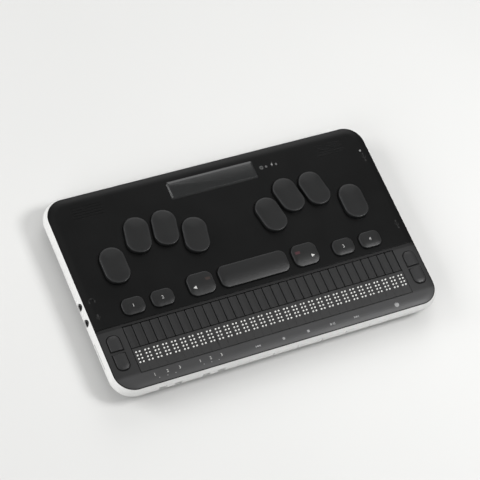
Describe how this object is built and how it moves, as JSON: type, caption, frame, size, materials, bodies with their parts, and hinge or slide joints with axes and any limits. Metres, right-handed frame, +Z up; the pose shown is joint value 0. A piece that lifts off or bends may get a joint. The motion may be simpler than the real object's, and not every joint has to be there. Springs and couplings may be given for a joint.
{
  "type": "braille display",
  "caption": "Portable braille display and note taker: slim rounded case with a line of refreshable braille cells, routing keys, a braille keyboard and a small screen.",
  "frame": {"origin": "on the table, under the middle of the case", "axes": "+X to the user's right along the braille line, +Y to the back, +Z up"},
  "size_m": [0.246, 0.147, 0.021],
  "materials": {
    "base_plastic": "fine moulded texture",
    "band_silver": "satin silver paint",
    "deck_black": "soft black coating",
    "bezel_grey": "satin grey",
    "lens_grey": "clear hard coat",
    "lcd_glass": "dark display glass",
    "circuit_board": "solder mask",
    "switch_metal": "stamped",
    "cell_plastic": "satin",
    "battery_wrap": "shrink sleeve",
    "speaker_black": "moulded",
    "socket_black": "moulded",
    "socket_steel": "drawn shell",
    "foot_rubber": "matte",
    "screw_steel": "zinc",
    "light_pipe": "translucent",
    "key_black": "fine satin",
    "scroll_grey": "fine satin",
    "button_silver": "satin silver paint",
    "pin_white": "polished",
    "routing_grey": "fine satin"
  },
  "bodies": {
    "case": {"bottom_case": "base_plastic", "battery_cover": "base_plastic", "side_band": "band_silver", "top_cover": "deck_black", "front_bezel": "bezel_grey", "lcd_window": "lens_grey", "lcd_module": "lcd_glass", "main_board": "circuit_board", "keypad_board": "circuit_board", "key_switches": "switch_metal", "braille_cells": "cell_plastic", "cell_backplane": "circuit_board", "routing_board": "circuit_board", "front_switch_board": "circuit_board", "battery_pack": "battery_wrap", "speakers": "speaker_black", "audio_jacks": "socket_black", "usb_c_ports": "socket_steel", "rubber_feet": "foot_rubber", "case_screws": "screw_steel", "status_lights": "light_pipe"},
    "dot_key_1": {"dot_key_1": "key_black"},
    "dot_key_2": {"dot_key_2": "key_black"},
    "dot_key_3": {"dot_key_3": "key_black"},
    "dot_key_4": {"dot_key_4": "key_black"},
    "dot_key_5": {"dot_key_5": "key_black"},
    "dot_key_6": {"dot_key_6": "key_black"},
    "dot_key_7": {"dot_key_7": "key_black"},
    "dot_key_8": {"dot_key_8": "key_black"},
    "function_key_1": {"function_key_1": "key_black"},
    "function_key_2": {"function_key_2": "key_black"},
    "function_key_3": {"function_key_3": "key_black"},
    "function_key_4": {"function_key_4": "key_black"},
    "left_arrow_key": {"left_arrow_key": "key_black"},
    "right_arrow_key": {"right_arrow_key": "key_black"},
    "space_bar": {"space_bar": "key_black"},
    "left_scroll_up": {"left_scroll_up": "scroll_grey"},
    "left_scroll_down": {"left_scroll_down": "scroll_grey"},
    "right_scroll_up": {"right_scroll_up": "scroll_grey"},
    "right_scroll_down": {"right_scroll_down": "scroll_grey"},
    "media_button_1": {"media_button_1": "button_silver"},
    "media_button_2": {"media_button_2": "button_silver"},
    "media_button_3": {"media_button_3": "button_silver"},
    "media_button_4": {"media_button_4": "button_silver"},
    "media_button_5": {"media_button_5": "button_silver"},
    "power_button": {"power_button": "button_silver"},
    "lock_switch": {"lock_switch": "button_silver"},
    "mode_switch": {"mode_switch": "button_silver"},
    "pins_dot_1": {"pins_dot_1": "pin_white"},
    "pins_dot_2": {"pins_dot_2": "pin_white"},
    "pins_dot_3": {"pins_dot_3": "pin_white"},
    "pins_dot_4": {"pins_dot_4": "pin_white"},
    "pins_dot_5": {"pins_dot_5": "pin_white"},
    "pins_dot_6": {"pins_dot_6": "pin_white"},
    "pins_dot_7": {"pins_dot_7": "pin_white"},
    "pins_dot_8": {"pins_dot_8": "pin_white"},
    "routing_keys_1": {"routing_keys_1": "routing_grey"},
    "routing_keys_2": {"routing_keys_2": "routing_grey"},
    "routing_keys_3": {"routing_keys_3": "routing_grey"},
    "routing_keys_4": {"routing_keys_4": "routing_grey"}
  },
  "joints": [
    {"name": "dot_key_1_press", "type": "slide", "parent": "case", "child": "dot_key_1", "axis": [0, 0, -1], "range_m": [0, 0.0012], "stiffness_N_per_m": 200, "springref_m": -0.0025},
    {"name": "dot_key_2_press", "type": "slide", "parent": "case", "child": "dot_key_2", "axis": [0, 0, -1], "range_m": [0, 0.0012], "stiffness_N_per_m": 200, "springref_m": -0.0025},
    {"name": "dot_key_3_press", "type": "slide", "parent": "case", "child": "dot_key_3", "axis": [0, 0, -1], "range_m": [0, 0.0012], "stiffness_N_per_m": 200, "springref_m": -0.0025},
    {"name": "dot_key_4_press", "type": "slide", "parent": "case", "child": "dot_key_4", "axis": [0, 0, -1], "range_m": [0, 0.0012], "stiffness_N_per_m": 200, "springref_m": -0.0025},
    {"name": "dot_key_5_press", "type": "slide", "parent": "case", "child": "dot_key_5", "axis": [0, 0, -1], "range_m": [0, 0.0012], "stiffness_N_per_m": 200, "springref_m": -0.0025},
    {"name": "dot_key_6_press", "type": "slide", "parent": "case", "child": "dot_key_6", "axis": [0, 0, -1], "range_m": [0, 0.0012], "stiffness_N_per_m": 200, "springref_m": -0.0025},
    {"name": "dot_key_7_press", "type": "slide", "parent": "case", "child": "dot_key_7", "axis": [0, 0, -1], "range_m": [0, 0.0012], "stiffness_N_per_m": 200, "springref_m": -0.0025},
    {"name": "dot_key_8_press", "type": "slide", "parent": "case", "child": "dot_key_8", "axis": [0, 0, -1], "range_m": [0, 0.0012], "stiffness_N_per_m": 200, "springref_m": -0.0025},
    {"name": "function_key_1_press", "type": "slide", "parent": "case", "child": "function_key_1", "axis": [0, 0, -1], "range_m": [0, 0.0008], "stiffness_N_per_m": 250, "springref_m": -0.002},
    {"name": "function_key_2_press", "type": "slide", "parent": "case", "child": "function_key_2", "axis": [0, 0, -1], "range_m": [0, 0.0008], "stiffness_N_per_m": 250, "springref_m": -0.002},
    {"name": "function_key_3_press", "type": "slide", "parent": "case", "child": "function_key_3", "axis": [0, 0, -1], "range_m": [0, 0.0008], "stiffness_N_per_m": 250, "springref_m": -0.002},
    {"name": "function_key_4_press", "type": "slide", "parent": "case", "child": "function_key_4", "axis": [0, 0, -1], "range_m": [0, 0.0008], "stiffness_N_per_m": 250, "springref_m": -0.002},
    {"name": "left_arrow_key_press", "type": "slide", "parent": "case", "child": "left_arrow_key", "axis": [0, 0, -1], "range_m": [0, 0.0008], "stiffness_N_per_m": 250, "springref_m": -0.002},
    {"name": "right_arrow_key_press", "type": "slide", "parent": "case", "child": "right_arrow_key", "axis": [0, 0, -1], "range_m": [0, 0.0008], "stiffness_N_per_m": 250, "springref_m": -0.002},
    {"name": "space_bar_press", "type": "slide", "parent": "case", "child": "space_bar", "axis": [0, 0, -1], "range_m": [0, 0.0008], "stiffness_N_per_m": 250, "springref_m": -0.002},
    {"name": "left_scroll_up_press", "type": "slide", "parent": "case", "child": "left_scroll_up", "axis": [0, 0, -1], "range_m": [0, 0.0008], "stiffness_N_per_m": 250, "springref_m": -0.002},
    {"name": "left_scroll_down_press", "type": "slide", "parent": "case", "child": "left_scroll_down", "axis": [0, 0, -1], "range_m": [0, 0.0008], "stiffness_N_per_m": 250, "springref_m": -0.002},
    {"name": "right_scroll_up_press", "type": "slide", "parent": "case", "child": "right_scroll_up", "axis": [0, 0, -1], "range_m": [0, 0.0008], "stiffness_N_per_m": 250, "springref_m": -0.002},
    {"name": "right_scroll_down_press", "type": "slide", "parent": "case", "child": "right_scroll_down", "axis": [0, 0, -1], "range_m": [0, 0.0008], "stiffness_N_per_m": 250, "springref_m": -0.002},
    {"name": "media_button_1_press", "type": "slide", "parent": "case", "child": "media_button_1", "axis": [0, 1, 0], "range_m": [0, 0.0006], "stiffness_N_per_m": 400, "springref_m": -0.0025},
    {"name": "media_button_2_press", "type": "slide", "parent": "case", "child": "media_button_2", "axis": [0, 1, 0], "range_m": [0, 0.0006], "stiffness_N_per_m": 400, "springref_m": -0.0025},
    {"name": "media_button_3_press", "type": "slide", "parent": "case", "child": "media_button_3", "axis": [0, 1, 0], "range_m": [0, 0.0006], "stiffness_N_per_m": 400, "springref_m": -0.0025},
    {"name": "media_button_4_press", "type": "slide", "parent": "case", "child": "media_button_4", "axis": [0, 1, 0], "range_m": [0, 0.0006], "stiffness_N_per_m": 400, "springref_m": -0.0025},
    {"name": "media_button_5_press", "type": "slide", "parent": "case", "child": "media_button_5", "axis": [0, 1, 0], "range_m": [0, 0.0006], "stiffness_N_per_m": 400, "springref_m": -0.0025},
    {"name": "power_button_press", "type": "slide", "parent": "case", "child": "power_button", "axis": [0, 1, 0], "range_m": [0, 0.0006], "stiffness_N_per_m": 400, "springref_m": -0.0025},
    {"name": "lock_switch_slide", "type": "slide", "parent": "case", "child": "lock_switch", "axis": [1, 0, 0], "range_m": [-0.0054, 0.0054]},
    {"name": "mode_switch_slide", "type": "slide", "parent": "case", "child": "mode_switch", "axis": [1, 0, 0], "range_m": [-0.0054, 0.0054]},
    {"name": "pins_dot_1_retract", "type": "slide", "parent": "case", "child": "pins_dot_1", "axis": [0, 0, -1], "range_m": [0, 0.0007], "stiffness_N_per_m": 500, "springref_m": -0.001},
    {"name": "pins_dot_2_retract", "type": "slide", "parent": "case", "child": "pins_dot_2", "axis": [0, 0, -1], "range_m": [0, 0.0007], "stiffness_N_per_m": 500, "springref_m": -0.001},
    {"name": "pins_dot_3_retract", "type": "slide", "parent": "case", "child": "pins_dot_3", "axis": [0, 0, -1], "range_m": [0, 0.0007], "stiffness_N_per_m": 500, "springref_m": -0.001},
    {"name": "pins_dot_4_retract", "type": "slide", "parent": "case", "child": "pins_dot_4", "axis": [0, 0, -1], "range_m": [0, 0.0007], "stiffness_N_per_m": 500, "springref_m": -0.001},
    {"name": "pins_dot_5_retract", "type": "slide", "parent": "case", "child": "pins_dot_5", "axis": [0, 0, -1], "range_m": [0, 0.0007], "stiffness_N_per_m": 500, "springref_m": -0.001},
    {"name": "pins_dot_6_retract", "type": "slide", "parent": "case", "child": "pins_dot_6", "axis": [0, 0, -1], "range_m": [0, 0.0007], "stiffness_N_per_m": 500, "springref_m": -0.001},
    {"name": "pins_dot_7_retract", "type": "slide", "parent": "case", "child": "pins_dot_7", "axis": [0, 0, -1], "range_m": [0, 0.0007], "stiffness_N_per_m": 500, "springref_m": -0.001},
    {"name": "pins_dot_8_retract", "type": "slide", "parent": "case", "child": "pins_dot_8", "axis": [0, 0, -1], "range_m": [0, 0.0007], "stiffness_N_per_m": 500, "springref_m": -0.001},
    {"name": "routing_keys_1_press", "type": "slide", "parent": "case", "child": "routing_keys_1", "axis": [0, 0, -1], "range_m": [0, 0.0008], "stiffness_N_per_m": 800, "springref_m": -0.0015},
    {"name": "routing_keys_2_press", "type": "slide", "parent": "case", "child": "routing_keys_2", "axis": [0, 0, -1], "range_m": [0, 0.0008], "stiffness_N_per_m": 800, "springref_m": -0.0015},
    {"name": "routing_keys_3_press", "type": "slide", "parent": "case", "child": "routing_keys_3", "axis": [0, 0, -1], "range_m": [0, 0.0008], "stiffness_N_per_m": 800, "springref_m": -0.0015},
    {"name": "routing_keys_4_press", "type": "slide", "parent": "case", "child": "routing_keys_4", "axis": [0, 0, -1], "range_m": [0, 0.0008], "stiffness_N_per_m": 800, "springref_m": -0.0015}
  ]
}
